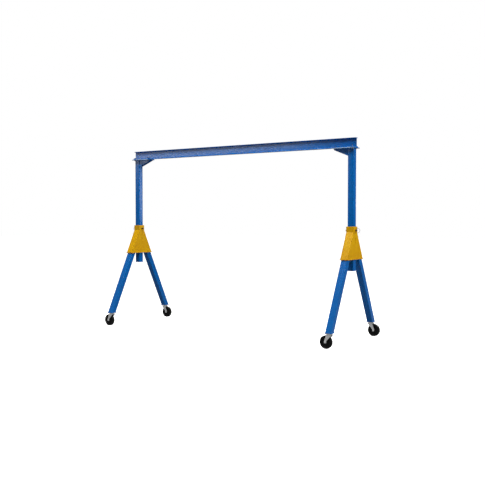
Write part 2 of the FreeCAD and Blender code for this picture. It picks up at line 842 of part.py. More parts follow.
def mounting_plate(body, length, width, thick, bottom, centre_hole, bolt_hole):
    """A plate about the swivel axis, with a centre hole and four bolt holes."""
    outline = new_sketch(body, "plate_outline", "XY_Plane", bottom)
    add_rectangle(outline, 0, 0, length, width)
    add_circle(outline, 0, 0, centre_hole)
    for x in (1, -1):
        for y in (1, -1):
            add_circle(outline, x * d.caster_bolt_x / 2, y * d.caster_bolt_y / 2, bolt_hole)
    pad(body, outline, thick)
    corner = d.caster_plate_corner
    round_edges(body, "plate_corners", corner, lambda edge: runs_along(edge, Z_WAY))


def make_foot_plate(body):
    mounting_plate(
        body,
        d.foot_plate_x,
        d.foot_plate_y,
        d.foot_plate_thick,
        caster_height,
        d.foot_plate_hole,
        d.caster_bolt_size + 2 * d.thread_clearance,
    )


def make_caster_plate(body):
    mounting_plate(
        body,
        d.caster_plate_x,
        d.caster_plate_y,
        d.caster_plate_thick,
        caster_height - d.caster_plate_thick,
        d.kingpin_size + 2 * d.thread_clearance,
        d.caster_bolt_size + 2 * d.bolt_clearance,
    )


def make_caster_bolts(body):
    """Bolts up through the caster plates into the tapped foot plates."""
    seat = caster_height - d.caster_plate_thick
    heads = new_sketch(body, "bolt_heads", "XY_Plane", seat)
    shanks = new_sketch(body, "bolt_shanks", "XY_Plane", seat)
    for x, y in caster_bolt_places():
        add_hexagon(heads, x, y, d.caster_bolt_flats)
        add_circle(shanks, x, y, d.caster_bolt_size)
    pad(body, heads, d.caster_bolt_head, backwards=True)
    pad(body, shanks, d.caster_plate_thick + d.foot_plate_thick)
    chamfer_heads(body, "head_corners", seat - d.caster_bolt_head, d.caster_bolt_flats)


race_top = caster_height - d.caster_plate_thick
yoke_top = race_top - d.race_height - d.race_gap
yoke_under = yoke_top - d.yoke_thick


def make_races(body):
    """Sealed ball race between each caster plate and its yoke."""
    outline = new_sketch(body, "race_outlines", "XY_Plane", race_top)
    for way in (1, -1):
        add_circle(outline, 0, way * d.foot_reach, d.race_size)
        add_circle(outline, 0, way * d.foot_reach, d.race_bore)
    pad(body, outline, d.race_height, backwards=True)
    radius = d.race_size.value / 2
    low = (race_top - d.race_height).value
    round_edges(body, "race_edges", 2.5, lambda e: is_circle(e, radius, low, "z"))


def make_kingpins(body):
    """Headed pins through the caster plates, each with a nut under the yoke."""
    nut_top = yoke_under - d.kingpin_nut_gap
    nut_bottom = nut_top - d.kingpin_nut_height
    tail = nut_bottom - d.kingpin_tail
    heads = new_sketch(body, "pin_heads", "XY_Plane", caster_height)
    shanks = new_sketch(body, "pin_shanks", "XY_Plane", caster_height)
    nuts = new_sketch(body, "nuts", "XY_Plane", nut_bottom)
    for way in (1, -1):
        y = way * d.foot_reach
        add_circle(heads, 0, y, d.kingpin_head)
        add_circle(shanks, 0, y, d.kingpin_size)
        add_hexagon(nuts, 0, y, d.kingpin_flats)
        add_circle(nuts, 0, y, d.kingpin_size + 2 * d.thread_clearance)
    pad(body, heads, d.kingpin_head_height)
    pad(body, shanks, caster_height - tail, backwards=True)
    pad(body, nuts, d.kingpin_nut_height)
    chamfer_heads(body, "nut_corners", nut_bottom, d.kingpin_flats)


yoke_inside = d.hub_length + 2 * d.yoke_gap
yoke_outside = yoke_inside + 2 * d.yoke_thick


def make_yoke(body):
    """Pressed fork that swivels on the kingpin and carries the wheel behind it."""
    side = new_sketch(body, "yoke_side", "XZ_Plane")
    axle = d.wheel_radius
    add_polygon(
        side,
        [
            (-d.yoke_crown, yoke_top),
            (d.yoke_crown, yoke_top),
            (d.yoke_crown, yoke_top - d.yoke_shoulder),
            (d.trail + d.yoke_end, axle + d.yoke_end),
            (d.trail + d.yoke_end, axle - d.yoke_end),
            (d.trail - d.yoke_end, axle - d.yoke_end),
            (d.trail - d.yoke_end, axle + d.yoke_end),
            (-d.yoke_crown, yoke_top - d.yoke_shoulder),
        ],
    )
    pad(body, side, yoke_outside, symmetric=True)
    inside = new_sketch(body, "yoke_inside", "XZ_Plane")
    far = 2 * d.wheel_radius
    add_polygon(inside, [(-far, 0), (far, 0), (far, yoke_under), (-far, yoke_under)])
    pocket(body, inside, yoke_inside, symmetric=True)
    low = (axle - d.yoke_end).value
    top = yoke_top.value
    half = yoke_outside.value / 2

    def lower_end(edge):
        return runs_along(edge, Y_WAY) and abs(edge.CenterOfMass.z - low) < 0.01

    def crown_side(edge):
        centre = edge.CenterOfMass
        at_side = abs(abs(centre.y) - half) < 0.01
        return runs_along(edge, X_WAY) and at_side and abs(centre.z - top) < 0.01

    round_edges(body, "lower_ends", d.yoke_end_radius, lower_end)
    round_edges(body, "crown_bends", d.yoke_bend, crown_side)
    pin = new_sketch(body, "kingpin_hole", "XY_Plane", yoke_under - 1)
    add_circle(pin, 0, 0, d.kingpin_size + 2 * d.swivel_clearance)
    pocket(body, pin, d.yoke_thick + 2, backwards=True)
    hole = new_sketch(body, "axle_hole", "XZ_Plane")
    add_circle(hole, d.trail, axle, d.axle_size + 2 * d.bolt_clearance)
    pocket(body, hole, yoke_outside + 2, symmetric=True)


def make_axle(body):
    """Axle bolt with its nut."""
    axle = d.wheel_radius
    face = yoke_outside / 2
    tail = face + d.axle_nut_height + d.axle_tail
    head = new_sketch(body, "axle_head", "XZ_Plane", face)
    add_hexagon(head, d.trail, axle, d.axle_flats)
    pad(body, head, d.axle_head)
    shank = new_sketch(body, "axle_shank", "XZ_Plane", face)
    add_circle(shank, d.trail, axle, d.axle_size)
    pad(body, shank, face + tail, backwards=True)
    nut = new_sketch(body, "axle_nut", "XZ_Plane", -face)
    add_hexagon(nut, d.trail, axle, d.axle_flats)
    add_circle(nut, d.trail, axle, d.axle_size + 2 * d.thread_clearance)
    pad(body, nut, d.axle_nut_height, backwards=True)


def make_wheel(body):
    """Moulded wheel, turned about its axle."""
    outline = new_sketch(body, "wheel_half_section", "YZ_Plane", d.trail)
    axle = d.wheel_radius
    hub = d.hub_length / 2
    tread = d.wheel_width / 2
    web = d.web_thick / 2
    bore = d.bearing_size / 2
    add_polygon(
        outline,
        [
            (-hub, axle + bore),
            (hub, axle + bore),
            (hub, axle + d.hub_radius - 2),
            (web, axle + d.hub_radius + 2),
            (web, axle + d.rim_radius - d.rim_taper),
            (tread - 2, axle + d.rim_radius),
            (tread, axle + d.rim_radius + 2),
            (tread, axle + d.wheel_radius - d.wheel_edge),
            (tread - d.wheel_edge, axle + d.wheel_radius),
            (d.wheel_edge - tread, axle + d.wheel_radius),
            (-tread, axle + d.wheel_radius - d.wheel_edge),
            (-tread, axle + d.rim_radius + 2),
            (2 - tread, axle + d.rim_radius),
            (-web, axle + d.rim_radius - d.rim_taper),
            (-web, axle + d.hub_radius + 2),
            (-hub, axle + d.hub_radius - 2),
        ],
    )
    turn_about_axle(body, outline)


def turn_about_axle(body, outline):
    """Revolve a half section about the wheel's axle line, drawn in the same sketch."""
    index = outline.addGeometry(
        Part.LineSegment(
            FreeCAD.Vector(-50, d.wheel_radius.value, 0),
            FreeCAD.Vector(50, d.wheel_radius.value, 0),
        ),
        True,
    )
    hold_point(outline, index, 1, as_size(-50), d.wheel_radius)
    hold_point(outline, index, 2, as_size(50), d.wheel_radius)
    feature = body.newObject("PartDesign::Revolution", f"{outline.Name}_turned")
    feature.Profile = outline
    feature.ReferenceAxis = (outline, ["Axis0"])
    feature.Angle = 360
    outline.Visibility = False
    finish(body, feature)


def make_wheel_bearing(body):
    """Sleeve pressed into the hub, running on the axle bolt."""
    axle = d.wheel_radius
    section = new_sketch(body, "sleeve_section", "XZ_Plane")
    add_circle(section, d.trail, axle, d.bearing_size)
    add_circle(section, d.trail, axle, d.axle_size + 2 * d.axle_clearance)
    pad(body, section, d.hub_length, symmetric=True)


# ---- build everything ---------------------------------------------------------------------------

make_beam()
at_each_end("upright", make_upright)
at_each_end("saddle_plate", make_saddle_plate)
at_each_end("saddle_gussets", make_gussets)
at_each_end("beam_clips", make_clips)
at_each_end("clip_bolts", make_clip_bolts)
at_each_end("head_receiver", make_receiver)
at_each_end("head_collar", make_collar)
at_each_end("head_face_plates", make_face_plates)
at_each_end("head_slope_plates", make_slope_plates)
at_each_end("head_base_plate", make_base_plate)
at_each_end("lock_pin", make_lock_pin)
for end_name, end_way in ENDS.items():
    make_pin_ring("pin_ring", end_name, end_way)
at_each_corner("leg", make_leg, own_axis=False)
at_each_corner("foot_plate", make_foot_plate, own_axis=True)
at_each_corner("caster_plate", make_caster_plate, own_axis=True)
at_each_end("caster_bolts", make_caster_bolts)
at_each_end("swivel_races", make_races)
at_each_end("kingpins", make_kingpins)
at_each_corner("caster_yoke", make_yoke, own_axis=True)
at_each_corner("caster_axle", make_axle, own_axis=True)
at_each_corner("wheel", make_wheel, own_axis=True)
at_each_corner("wheel_bearing", make_wheel_bearing, own_axis=True)

doc.recompute()
for item in doc.Objects:
    if "Invalid" in item.State or "Error" in item.State:
        raise ValueError(f"{item.Label} did not recompute")
for body in finished:
    if body.Shape.isNull() or not body.Shape.isValid():
        raise ValueError(f"{body.Label} has no valid shape")

os.makedirs("parts", exist_ok=True)
for body in finished:
    body.Shape.exportStep(f"parts/{body.Label}.step")
    solids = len(body.Shape.Solids)
    print(f"{body.Label}: {solids} solids, {body.Shape.Volume / 1000:.1f} cm3")
print(f"{len(finished)} nodes")
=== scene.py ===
import json
import math

import bmesh
import bpy
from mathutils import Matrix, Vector, noise


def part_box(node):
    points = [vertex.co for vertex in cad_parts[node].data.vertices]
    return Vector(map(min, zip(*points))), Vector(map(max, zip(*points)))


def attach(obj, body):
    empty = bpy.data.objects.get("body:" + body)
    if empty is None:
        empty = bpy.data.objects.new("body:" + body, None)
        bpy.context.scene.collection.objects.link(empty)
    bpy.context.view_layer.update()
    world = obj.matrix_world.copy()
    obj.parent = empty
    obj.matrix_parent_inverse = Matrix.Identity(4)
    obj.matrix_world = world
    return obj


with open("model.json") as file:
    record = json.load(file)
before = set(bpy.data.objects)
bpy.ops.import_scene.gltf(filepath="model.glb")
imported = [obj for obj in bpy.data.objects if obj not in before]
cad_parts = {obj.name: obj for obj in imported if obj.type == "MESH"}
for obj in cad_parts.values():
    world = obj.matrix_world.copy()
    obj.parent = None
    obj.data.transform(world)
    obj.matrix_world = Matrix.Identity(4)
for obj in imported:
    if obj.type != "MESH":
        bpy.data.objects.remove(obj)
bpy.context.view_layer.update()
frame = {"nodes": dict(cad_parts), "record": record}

# Looks of the portable gantry crane. Metres, in the CAD model's own frame: +X along the beam,
# +Y across the crane, +Z up, floor at z = 0.

ENDS = {"left": -1, "right": 1}
CORNERS = {"front": -1, "rear": 1}

# an edge is sharp from the first angle on, faces are one plane up to the second, and corners
# nearer than the distance are one
SHARP_EDGE = math.radians(35)
FLAT_FACES = math.radians(0.5)
MERGE_DISTANCE = 0.00001

# the outside corners of the square tubes, and how far a vertex may be from a height asked for
TUBE_CORNER = 0.010
HEIGHT_TOLERANCE = 0.0006

# radius of each kind of weld bead
SEAM_BEAD = 0.0032
FOOT_BEAD = 0.0052
NECK_BEAD = 0.0042
CROWN_BEAD = 0.0028
PLUG_BEAD = 0.0070
LEG_BEAD = 0.0050
SADDLE_BEAD = 0.0052
GUSSET_BEAD = 0.0042

# a bead's own shape: its sides, the rings in a ripple, and the rest in shares of its radius
BEAD_SIDES = 8
RIPPLE_RINGS = 4
RING_GAP = 0.55
RIPPLE_DEPTH = 0.10
SIZE_WANDER = 0.12
LINE_WANDER = 0.10
END_SIZE = 0.45
END_GROWTH = 0.25

# how fine that wander is, per metre, and what keeps the line's apart from the size's
SIZE_NOISE = 55.0
LINE_NOISE = 90.0
LINE_NOISE_SHIFT = Vector((7, 3, 5))

# screw threads on the tails of the half-inch bolts; the ridge fades in over a few steps
BOLT_RADIUS = 0.00635
THREAD_PITCH = 0.0011
THREAD_STEPS = 16
RIDGE_HEIGHT = 0.30 * THREAD_PITCH
RIDGE_HALF_WIDTH = 0.42 * THREAD_PITCH
RIDGE_ROOT = 0.0002
RIDGE_FADE = 6

# brightness: floor as the camera sees it, floor as the crane sees it, walls and ceiling
FLOOR_GLOW = 0.80
FLOOR_BOUNCE = 0.30
ROOM_WALLS = 0.10
ROOM_CEILING = 0.9


# ---- materials -------------------------------------------------------------------------------


class Shader:
    """One node material, with short calls for the nodes it needs."""

    def __init__(self, name):
        self.material = bpy.data.materials.new(name)
        self.material.use_nodes = True
        self.tree = self.material.node_tree
        self.surface = self.tree.nodes["Principled BSDF"]
        self.place = self.add("ShaderNodeTexCoord").outputs["Object"]

    def add(self, kind, **settings):
        item = self.tree.nodes.new(kind)
        for key, value in settings.items():
            setattr(item, key, value)
        return item

    def plug(self, socket, value):
        if isinstance(value, bpy.types.NodeSocket):
            self.tree.links.new(value, socket)
        else:
            socket.default_value = value

    def set(self, **sockets):
        """Set the surface's own sockets: Base_Color=..., Roughness=..."""
        for key, value in sockets.items():
            self.plug(self.surface.inputs[key.replace("_", " ")], value)

    def scaled(self, scale):
        """Places stretched by a scale along each axis, for noise that runs in streaks."""
        mapping = self.add("ShaderNodeMapping")
        self.plug(mapping.inputs["Vector"], self.place)
        mapping.inputs["Scale"].default_value = scale
        return mapping.outputs["Vector"]

    def noise(self, scale, detail=3.0, rough=0.5, place=None):
        """Noise from 0 to 1: its scale per metre, its octaves, and how strong the fine ones are."""
        item = self.add("ShaderNodeTexNoise")
        self.plug(item.inputs["Vector"], place or self.place)
        item.inputs["Scale"].default_value = scale
        item.inputs["Detail"].default_value = detail
        item.inputs["Roughness"].default_value = rough
        return item.outputs["Fac"]

    def cells(self, scale):
        """Distance to the nearest of a scatter of points, with a scale per metre."""
        item = self.add("ShaderNodeTexVoronoi")
        self.plug(item.inputs["Vector"], self.place)
        item.inputs["Scale"].default_value = scale
        return item.outputs["Distance"]

    def ramp(self, value, low, high, start=0.0, end=1.0):
        """Smooth step from start at low to end at high."""
        item = self.add("ShaderNodeMapRange", clamp=True)
        item.interpolation_type = "SMOOTHSTEP"
        self.plug(item.inputs["Value"], value)
        item.inputs["From Min"].default_value = low
        item.inputs["From Max"].default_value = high
        item.inputs["To Min"].default_value = start
        item.inputs["To Max"].default_value = end
        return item.outputs["Result"]

    def math(self, operation, a, b=0.0):
        item = self.add("ShaderNodeMath", operation=operation)
        self.plug(item.inputs[0], a)
        self.plug(item.inputs[1], b)
        return item.outputs[0]

    def plus(self, a, b):
        return self.math("ADD", a, b)

    def times(self, a, b):
        return self.math("MULTIPLY", a, b)

    def mix(self, amount, a, b):
        item = self.add("ShaderNodeMix", data_type="RGBA")
        self.plug(item.inputs["Factor"], amount)
        self.plug(item.inputs["A"], a)
        self.plug(item.inputs["B"], b)
        return item.outputs["Result"]

    def part(self, socket, axis):
        item = self.add("ShaderNodeSeparateXYZ")
        self.plug(item.inputs[0], socket)
        return item.outputs[axis]

    def facing(self, axis):
        """The object's own normal along an axis: 1 on faces that look that way."""
        return self.part(self.add("ShaderNodeTexCoord").outputs["Normal"], axis)

    def edges(self, radius):
        """1 along sharp edges, 0 on the flat, where bevelled and true normals agree."""
        bevel = self.add("ShaderNodeBevel", samples=4)
        bevel.inputs["Radius"].default_value = radius
        dot = self.add("ShaderNodeVectorMath", operation="DOT_PRODUCT")
        self.plug(dot.inputs[0], bevel.outputs["Normal"])
        self.plug(dot.inputs[1], self.add("ShaderNodeNewGeometry").outputs["Normal"])
        return self.ramp(dot.outputs["Value"], low=0.995, high=0.86)

    def bump(self, height, strength, distance):
        item = self.add("ShaderNodeBump")
        self.plug(item.inputs["Height"], height)
        item.inputs["Strength"].default_value = strength
        item.inputs["Distance"].default_value = distance
        self.plug(self.surface.inputs["Normal"], item.outputs["Normal"])


def rgb(red, green, blue):
    return (red, green, blue, 1.0)


def paint(name, colour, deep, worn, dust, gloss, shine, highlit_sides=False):
    """Sprayed machine enamel: orange peel, mottling, worn edges, a painted highlight along every
    edge, scuffs low down, dust on top, and if asked a patchy painted highlight on faces that look
    along Y.
    """
    made = Shader(name)
    mottle = made.noise(2.3, 4.0, 0.6)
    blotch = made.noise(14.0, 3.0, 0.55)
    tone = made.plus(made.times(mottle, 0.6), made.times(blotch, 0.4))
    body = made.mix(made.ramp(tone, 0.36, 0.64), deep, colour)
    # brushed and rubbed marks run up and down the tubes
    streaks = made.noise(1.0, 4.0, 0.6, made.scaled((90.0, 90.0, 4.0)))
    body = made.mix(made.ramp(streaks, 0.66, 0.82, end=0.22), body, dust)
    # scuffs and grime near the floor
    low_down = made.ramp(made.part(made.place, "Z"), 0.75, 0.2)
    scuff_grain = made.noise(38.0, 6.0, 0.72, made.scaled((1.0, 1.0, 0.45)))
    scuffs = made.times(made.ramp(scuff_grain, 0.60, 0.70), low_down)
    body = made.mix(made.times(scuffs, 0.55), body, dust)
    # edges rub through to the primer in patches
    rim = made.edges(0.0016)
    chips = made.ramp(made.noise(55.0, 5.0, 0.7), 0.50, 0.60)
    rub = made.times(rim, chips)
    # painted highlight: every sharp edge is lightened a quarter of the way to the dust colour
    body = made.mix(made.times(rim, 0.25), body, dust)
    body = made.mix(made.times(rub, 0.75), body, worn)
    if highlit_sides:
        # painted highlight: the sheared long edges of the saddle plates are made paler in patches,
        # as if catching the light
        sideways = made.ramp(made.math("ABSOLUTE", made.facing("Y")), 0.6, 0.9)
        patches = made.ramp(made.noise(21.0, 5.0, 0.7), 0.30, 0.62, start=0.25, end=0.8)
        body = made.mix(made.times(sideways, patches), body, PLATE_EDGE_HIGHLIGHT)
    # dust settles on faces that look up, and dulls them
    settled = made.ramp(made.facing("Z"), 0.75, 0.98)
    drifts = made.ramp(made.noise(9.0, 5.0, 0.6), 0.35, 0.7, start=0.1, end=0.4)
    dusty = made.times(settled, drifts)
    body = made.mix(dusty, body, dust)
    sheen = made.ramp(made.noise(30.0, 4.0, 0.6), 0.3, 0.7, start=gloss - 0.05, end=gloss + 0.08)
    rough = made.plus(sheen, made.times(made.math("MAXIMUM", rub, dusty), 0.3))
    made.set(Base_Color=body, Roughness=rough, Specular_IOR_Level=shine)
    # orange peel over slow waves, sunk where the paint is gone
    peel = made.noise(420.0, 2.0, 0.5)
    wave = made.noise(60.0, 2.0, 0.5)
    relief = made.plus(peel, made.times(wave, 0.8))
    relief = made.math("SUBTRACT", relief, made.times(rub, 1.2))
    made.bump(relief, strength=0.32, distance=0.0006)
    return made.material


def zinc(name, colour, stain, grime):
    """Bright zinc plate: cool silver with faint straw stains, grime in patches, fine scratches."""
    made = Shader(name)
    patch = made.noise(26.0, 4.0, 0.6)
    body = made.mix(made.ramp(patch, 0.45, 0.72, end=0.55), colour, stain)
    dirt = made.ramp(made.noise(70.0, 6.0, 0.7), 0.56, 0.70, end=0.5)
    body = made.mix(dirt, body, grime)
    scratch = made.noise(1.0, 3.0, 0.6, made.scaled((900.0, 60.0, 300.0)))
    rough = made.ramp(scratch, 0.3, 0.75, start=0.24, end=0.46)
    rough = made.plus(rough, made.times(dirt, 0.4))
    made.set(Base_Color=body, Metallic=0.9, Roughness=rough)
    relief = made.plus(made.noise(500.0, 2.0, 0.5), made.times(scratch, 0.6))
    made.bump(relief, strength=0.25, distance=0.0002)
    return made.material


def bare_steel(name, colour, rust, amount, rough_low, rough_high):
    """Turned steel with oil-dark patches and light rust."""
    made = Shader(name)
    oiled = rgb(*(0.6 * channel for channel in colour[:3]))
    grain = made.noise(1.0, 4.0, 0.6, made.scaled((1400.0, 120.0, 120.0)))
    base = made.mix(made.ramp(grain, 0.3, 0.7), colour, oiled)
    spots = made.ramp(made.noise(130.0, 6.0, 0.7), 0.58 - amount, 0.70 - amount)
    made.set(
        Base_Color=made.mix(spots, base, rust),
        Metallic=made.ramp(spots, 0.0, 1.0, start=0.95, end=0.15),
        Roughness=made.ramp(made.plus(spots, grain), 0.4, 1.4, start=rough_low, end=rough_high),
    )
    made.bump(made.plus(grain, spots), strength=0.3, distance=0.0002)
    return made.material


def phenolic(name, fresh, faded, dust):
    """Moulded black wheel: cloth-filled resin with a dusty, rubbed tread and greyer mould marks."""
    made = Shader(name)
    flecks = made.ramp(made.cells(260.0), 0.10, 0.34, start=1.0, end=0.0)
    fill = made.ramp(made.noise(45.0, 5.0, 0.65), 0.38, 0.72)
    body = made.mix(made.times(fill, 0.6), fresh, faded)
    body = made.mix(made.times(flecks, 0.30), body, faded)
    # the tread is what doesn't face along the axle
    tread = made.ramp(made.math("ABSOLUTE", made.facing("Y")), 0.75, 0.25)
    patches = made.ramp(made.noise(34.0, 6.0, 0.7), 0.36, 0.66, start=0.05, end=0.7)
    rubbed = made.times(tread, patches)
    body = made.mix(rubbed, body, dust)
    rim = made.times(made.edges(0.002), made.ramp(made.noise(60.0), 0.4, 0.6, start=0.2, end=0.8))
    body = made.mix(made.times(rim, 0.6), body, dust)
    rough = made.ramp(made.noise(80.0, 4.0, 0.6), 0.3, 0.7, start=0.38, end=0.55)
    rough = made.plus(rough, made.times(rubbed, 0.35))
    made.set(Base_Color=body, Roughness=rough, Specular_IOR_Level=0.14)
    relief = made.plus(made.noise(350.0, 3.0, 0.6), made.times(flecks, 0.5))
    made.bump(relief, strength=0.35, distance=0.0004)
    return made.material


BLUE_TONES = {
    "colour": rgb(0.0, 0.112, 0.395),
    "deep": rgb(0.0, 0.096, 0.350),
    "worn": rgb(0.035, 0.050, 0.075),
    "dust": rgb(0.045, 0.150, 0.340),
}
YELLOW_TONES = {
    "colour": rgb(0.60, 0.335, 0.0010),
    "deep": rgb(0.55, 0.275, 0.0008),
    "worn": rgb(0.10, 0.060, 0.030),
    "dust": rgb(0.52, 0.33, 0.020),
}
# colour of the painted highlight on the saddle plates' long edge faces
PLATE_EDGE_HIGHLIGHT = rgb(0.36, 0.47, 0.56)

blue = paint("blue_paint_look", gloss=0.20, shine=0.20, **BLUE_TONES)
# the saddle plates' blue, with a patchy painted highlight on the faces that look along Y
plate_blue_highlit = paint("saddle_plate_highlit_look", gloss=0.20, shine=0.20, highlit_sides=True, **BLUE_TONES)
yellow = paint("yellow_paint_look", gloss=0.36, shine=0.09, **YELLOW_TONES)
silver = zinc(
    "zinc_plate_look",
    colour=rgb(0.72, 0.73, 0.74),
    stain=rgb(0.66, 0.62, 0.50),
    grime=rgb(0.16, 0.15, 0.13),
)
pin_steel = bare_steel(
    "lock_pin_look",
    colour=rgb(0.095, 0.075, 0.062),
    rust=rgb(0.10, 0.035, 0.012),
    amount=0.04,
    rough_low=0.34,
    rough_high=0.62,
)
ring_steel = bare_steel(
    "pin_ring_look",
    colour=rgb(0.50, 0.36, 0.31),
    rust=rgb(0.30, 0.13, 0.07),
    amount=0.0,
    rough_low=0.28,
    rough_high=0.55,
)
sleeve_steel = bare_steel(
    "bearing_look",
    colour=rgb(0.42, 0.42, 0.43),
    rust=rgb(0.14, 0.08, 0.04),
    amount=-0.05,
    rough_low=0.25,
    rough_high=0.5,
)
black = phenolic(
    "black_wheel_look",
    fresh=rgb(0.0022, 0.0022, 0.0024),
    faded=rgb(0.0075, 0.0075, 0.0078),
    dust=rgb(0.050, 0.047, 0.043),
)

LOOKS = {
    "blue_paint": blue,
    "yellow_paint": yellow,
    "zinc_plate": silver,
    "dark_steel": pin_steel,
    "ring_wire": ring_steel,
    "black_wheel": black,
    "bearing_steel": sleeve_steel,
}
# width of the softened edges, for the slots that have them
EDGE_WIDTH = {
    "blue_paint": 0.0009,
    "yellow_paint": 0.0009,
    "zinc_plate": 0.0006,
    "dark_steel": 0.0004,
    "black_wheel": 0.0012,
}


def shading_group():
    """Geometry nodes that join a mesh's split corners and keep only its real edges sharp."""
    group = bpy.data.node_groups.new("shading", "GeometryNodeTree")
    group.interface.new_socket("Geometry", in_out="INPUT", socket_type="NodeSocketGeometry")
    group.interface.new_socket("Geometry", in_out="OUTPUT", socket_type="NodeSocketGeometry")
    start = group.nodes.new("NodeGroupInput")
    merge = group.nodes.new("GeometryNodeMergeByDistance")
    merge.inputs["Distance"].default_value = MERGE_DISTANCE
    clear = group.nodes.new("GeometryNodeRemoveAttribute")
    clear.inputs["Name"].default_value = "custom_normal"
    round_all = group.nodes.new("GeometryNodeSetShadeSmooth")
    angle = group.nodes.new("GeometryNodeInputMeshEdgeAngle")
    corner = group.nodes.new("FunctionNodeCompare")
    corner.inputs["B"].default_value = SHARP_EDGE
    sharpen = group.nodes.new("GeometryNodeSetShadeSmooth")
    sharpen.domain = "EDGE"
    sharpen.inputs["Shade Smooth"].default_value = False
    end = group.nodes.new("NodeGroupOutput")
    link = group.links.new
    link(start.outputs[0], merge.inputs["Geometry"])
    link(merge.outputs["Geometry"], clear.inputs["Geometry"])
    link(clear.outputs["Geometry"], round_all.inputs["Geometry"])
    link(angle.outputs["Unsigned Angle"], corner.inputs["A"])
    link(round_all.outputs["Geometry"], sharpen.inputs["Geometry"])
    link(corner.outputs["Result"], sharpen.inputs["Selection"])
    link(sharpen.outputs["Geometry"], end.inputs[0])
    return group


def dress_nodes():
    """Give each CAD node its look and soften its edges as sawn, sheared and moulded edges are."""
    shading = shading_group()
    for entry in frame["record"]["subparts"]:
        node = frame["nodes"][entry["node"]]
        slot = entry["material_slot"]
        # the saddle plates take the blue with the painted highlight on their long edge faces
        look = plate_blue_highlit if entry["node"].startswith("saddle_plate") else LOOKS[slot]
        node.data.materials.clear()
        node.data.materials.append(look)
        if slot not in EDGE_WIDTH:
            continue
        node.modifiers.new("shading", "NODES").node_group = shading
        if slot == "yellow_paint":
            # the heads' plates are flat, so their faces are joined before the edges are softened
            flatten = node.modifiers.new("flat", "DECIMATE")
            flatten.decimate_type = "DISSOLVE"
            flatten.angle_limit = FLAT_FACES
        bevel = node.modifiers.new("edge", "BEVEL")
        bevel.width = EDGE_WIDTH[slot]
        bevel.segments = 2
        bevel.limit_method = "ANGLE"
        bevel.angle_limit = SHARP_EDGE
        bevel.harden_normals = True


# ---- meshes ----------------------------------------------------------------------------------


def new_piece(name, mesh_maker, material, body):
    """A mesh object made by mesh_maker(bmesh), in its look, riding on a body."""
    mesh = bpy.data.meshes.new(name)
    shape = bmesh.new()
    mesh_maker(shape)
    bmesh.ops.recalc_face_normals(shape, faces=shape.faces)
    shape.to_mesh(mesh)
    shape.free()
    for face in mesh.polygons:
        face.use_smooth = True
    mesh.materials.append(material)
    piece = bpy.data.objects.new(name, mesh)
    bpy.context.scene.collection.objects.link(piece)
    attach(piece, body)
    return piece


def add_skin(shape, rings, closed=False):
    """Faces from each ring of vertices to the next, with a cap at each end of an open run."""
    following = rings[1:] + rings[:1] if closed else rings[1:]
    for near, far in zip(rings, following):
        sides = len(near)
        for k in range(sides):
            after = (k + 1) % sides
            shape.faces.new((near[k], near[after], far[after], far[k]))
    if not closed:
        shape.faces.new(rings[0][::-1])
        shape.faces.new(rings[-1])


def even_points(corners, step, closed):
    """Points at an even step along straight runs between corners."""
    path = []
    count = len(corners)
    for i in range(count if closed else count - 1):
        start = corners[i]
        end = corners[(i + 1) % count]
        pieces = max(1, round((end - start).length / step))
        for k in range(pieces):
            path.append(start.lerp(end, k / pieces))
    if not closed:
        path.append(corners[-1].copy())
    return path


def across(ahead):
    """Two directions at right angles to a path and to each other."""
    slant = Vector((0.31, 0.42, 0.85))
    other_slant = Vector((1.0, 0.0, 0.1))
    nearly_parallel = 0.2
    side = ahead.cross(slant)
    if side.length < nearly_parallel:
        side = ahead.cross(other_slant)
    side.normalize()
    return side, ahead.cross(side)


def add_bead(shape, corners, radius, closed=False, flat=1.0):
    """A weld bead along a path: overlapping ripples, slightly uneven, fading out at open ends.

    flat squeezes it along X, to that share of its thickness.
    """
    path = even_points(corners, radius * RING_GAP, closed)
    count = len(path)
    rings = []
    for i, point in enumerate(path):
        if closed:
            ahead = path[(i + 1) % count] - path[i - 1]
        else:
            ahead = path[min(i + 1, count - 1)] - path[max(i - 1, 0)]
        ahead.normalize()
        side, up = across(ahead)
        ripple = 1.0 - RIPPLE_DEPTH + RIPPLE_DEPTH * math.cos(i * math.tau / RIPPLE_RINGS)
        size = radius * (ripple + SIZE_WANDER * noise.noise(point * SIZE_NOISE))
        if not closed:
            size *= min(1.0, END_SIZE + END_GROWTH * min(i, count - 1 - i))
        wander = noise.noise(point * LINE_NOISE + LINE_NOISE_SHIFT)
        middle = point + side * (radius * LINE_WANDER * wander)
        ring = []
        for k in range(BEAD_SIDES):
            angle = math.tau * k / BEAD_SIDES
            offset = side * (math.cos(angle) * size) + up * (math.sin(angle) * size)
            offset.x *= flat
            ring.append(shape.verts.new(middle + offset))
        rings.append(ring)
    add_skin(shape, rings, closed)


def add_bead_round(shape, centre, half_x, half_y, corner, radius):
    """A closed weld bead round a level rectangle with rounded corners."""
    points = []
    steps = 4
    for quarter, (sx, sy) in enumerate(((1, 1), (-1, 1), (-1, -1), (1, -1))):
        middle = centre + Vector((sx * (half_x - corner), sy * (half_y - corner), 0))
        for k in range(steps + 1):
            angle = math.radians(90 * quarter + 90 / steps * k)
            points.append(middle + Vector((math.cos(angle), math.sin(angle), 0)) * corner)
    add_bead(shape, points, radius, closed=True)


def vertices(node):
    """Where a CAD node's vertices are."""
    return [vertex.co for vertex in frame["nodes"][node].data.vertices]


def profile_at(node, height):
    """Lowest and highest |y| of a CAD node's vertices at a height."""
    reach = [abs(co.y) for co in vertices(node) if abs(co.z - height) < HEIGHT_TOLERANCE]
    return min(reach), max(reach)


# ---- welds -----------------------------------------------------------------------------------


